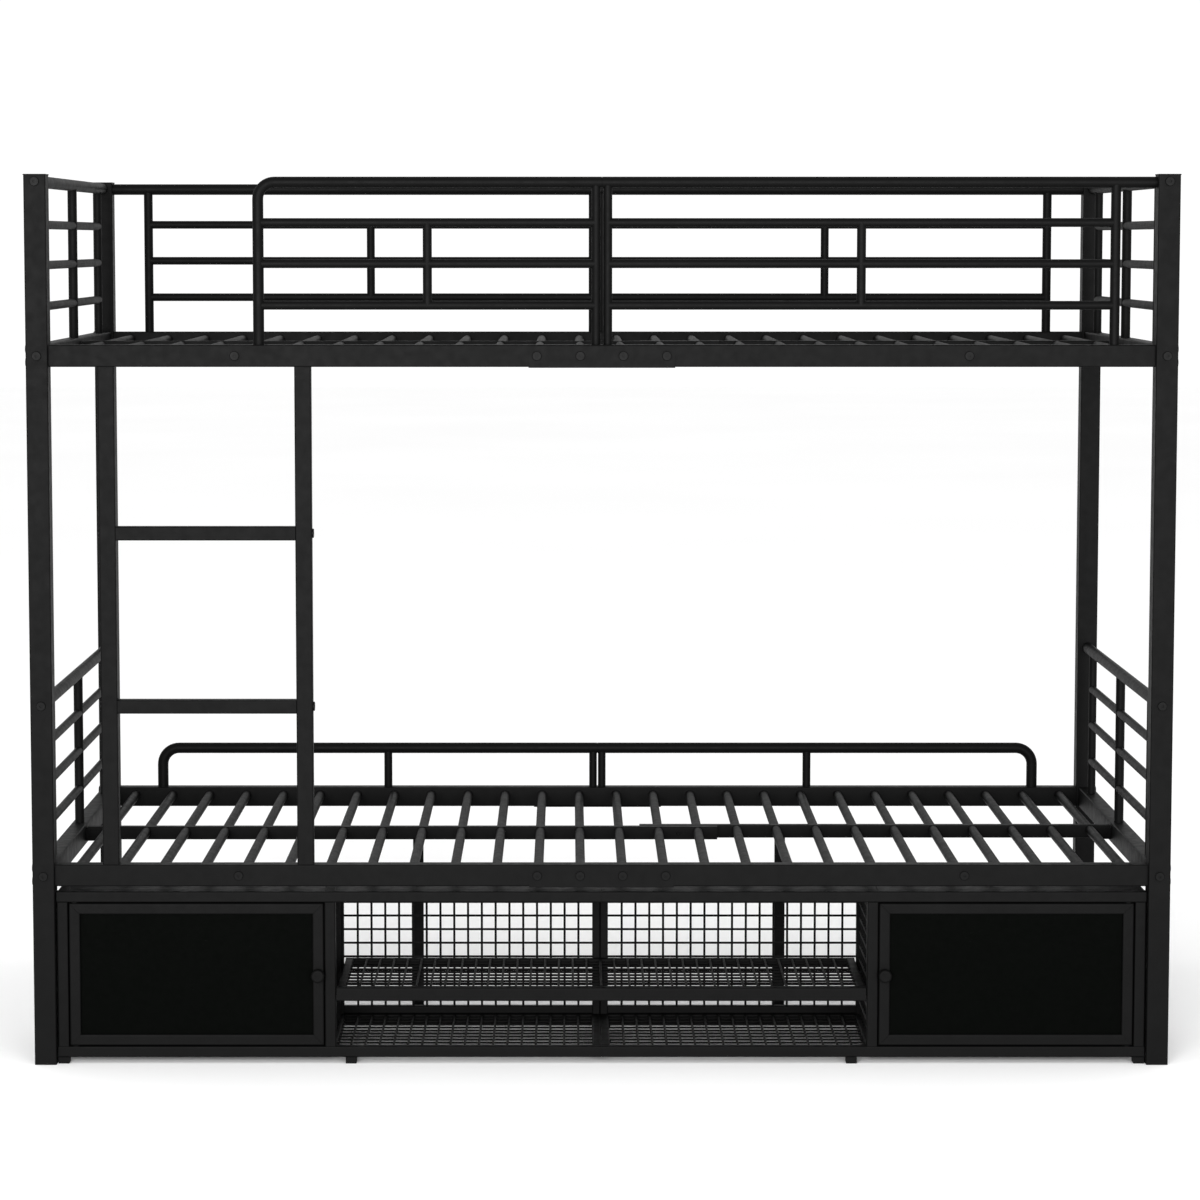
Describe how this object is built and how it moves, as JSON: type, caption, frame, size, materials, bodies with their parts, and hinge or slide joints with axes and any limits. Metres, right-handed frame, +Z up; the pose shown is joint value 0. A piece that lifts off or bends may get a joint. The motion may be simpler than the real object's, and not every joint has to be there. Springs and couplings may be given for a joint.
{
  "type": "bunk bed",
  "caption": "Black steel bunk bed with slatted decks, guard rails, a ladder and a low storage unit with doors and an open mesh bay.",
  "frame": {"origin": "on the floor under the middle of the bed", "axes": "+X along the bed to the right as seen from the ladder's side, +Y to the back, +Z up"},
  "size_m": [2.0864, 0.9922, 1.627],
  "materials": {
    "black_steel": "satin black powder coat",
    "black_bolts": "black bolts",
    "black_plastic": "matte black plastic",
    "door_sheet": "near-black matte sheet"
  },
  "bodies": {
    "frame": {"back_frame_left": "black_steel", "back_frame_right": "black_steel", "bay_meshes": "black_steel", "cabinet_sheets_left": "black_steel", "cabinet_sheets_right": "black_steel", "centre_support_lower": "black_steel", "centre_support_upper": "black_steel", "door_catches": "black_plastic", "end_panel_lower_left": "black_steel", "end_panel_lower_right": "black_steel", "end_panel_upper_left": "black_steel", "end_panel_upper_right": "black_steel", "floor_feet": "black_plastic", "guard_front_left": "black_steel", "guard_front_right": "black_steel", "guard_rear_left": "black_steel", "guard_rear_right": "black_steel", "ladder_bolts": "black_bolts", "ladder_rail_left": "black_steel", "ladder_rail_right": "black_steel", "ladder_steps": "black_steel", "low_guard_left": "black_steel", "low_guard_right": "black_steel", "pivot_bushes": "black_plastic", "post_bolts": "black_bolts", "post_caps": "black_plastic", "post_front_left": "black_steel", "post_front_right": "black_steel", "post_rear_left": "black_steel", "post_rear_right": "black_steel", "rail_bolts": "black_bolts", "rail_splices_lower": "black_steel", "rail_splices_upper": "black_steel", "shelf_frame": "black_steel", "shelf_mesh": "black_steel", "side_rail_lower_front_left": "black_steel", "side_rail_lower_front_right": "black_steel", "side_rail_lower_rear_left": "black_steel", "side_rail_lower_rear_right": "black_steel", "side_rail_upper_front_left": "black_steel", "side_rail_upper_front_right": "black_steel", "side_rail_upper_rear_left": "black_steel", "side_rail_upper_rear_right": "black_steel", "slats_lower": "black_steel", "slats_upper": "black_steel", "support_hangers": "black_steel", "support_legs": "black_steel", "unit_feet": "black_plastic", "unit_fixings": "black_bolts", "unit_frame_left": "black_steel", "unit_frame_right": "black_steel", "unit_top_sheets": "black_steel"},
    "left_door": {"door_frame_left": "black_steel", "door_knob_left": "black_plastic", "door_panel_left": "door_sheet", "door_pivots_left": "black_bolts"},
    "right_door": {"door_frame_right": "black_steel", "door_knob_right": "black_plastic", "door_panel_right": "door_sheet", "door_pivots_right": "black_bolts"}
  },
  "joints": [
    {"name": "left_door_hinge", "type": "hinge", "parent": "frame", "child": "left_door", "pos_m": [-0.9662, -0.472, 0.166], "axis": [0, 0, -1], "range_deg": [0, 110]},
    {"name": "right_door_hinge", "type": "hinge", "parent": "frame", "child": "right_door", "pos_m": [0.9662, -0.472, 0.166], "axis": [0, 0, 1], "range_deg": [0, 110]}
  ]
}
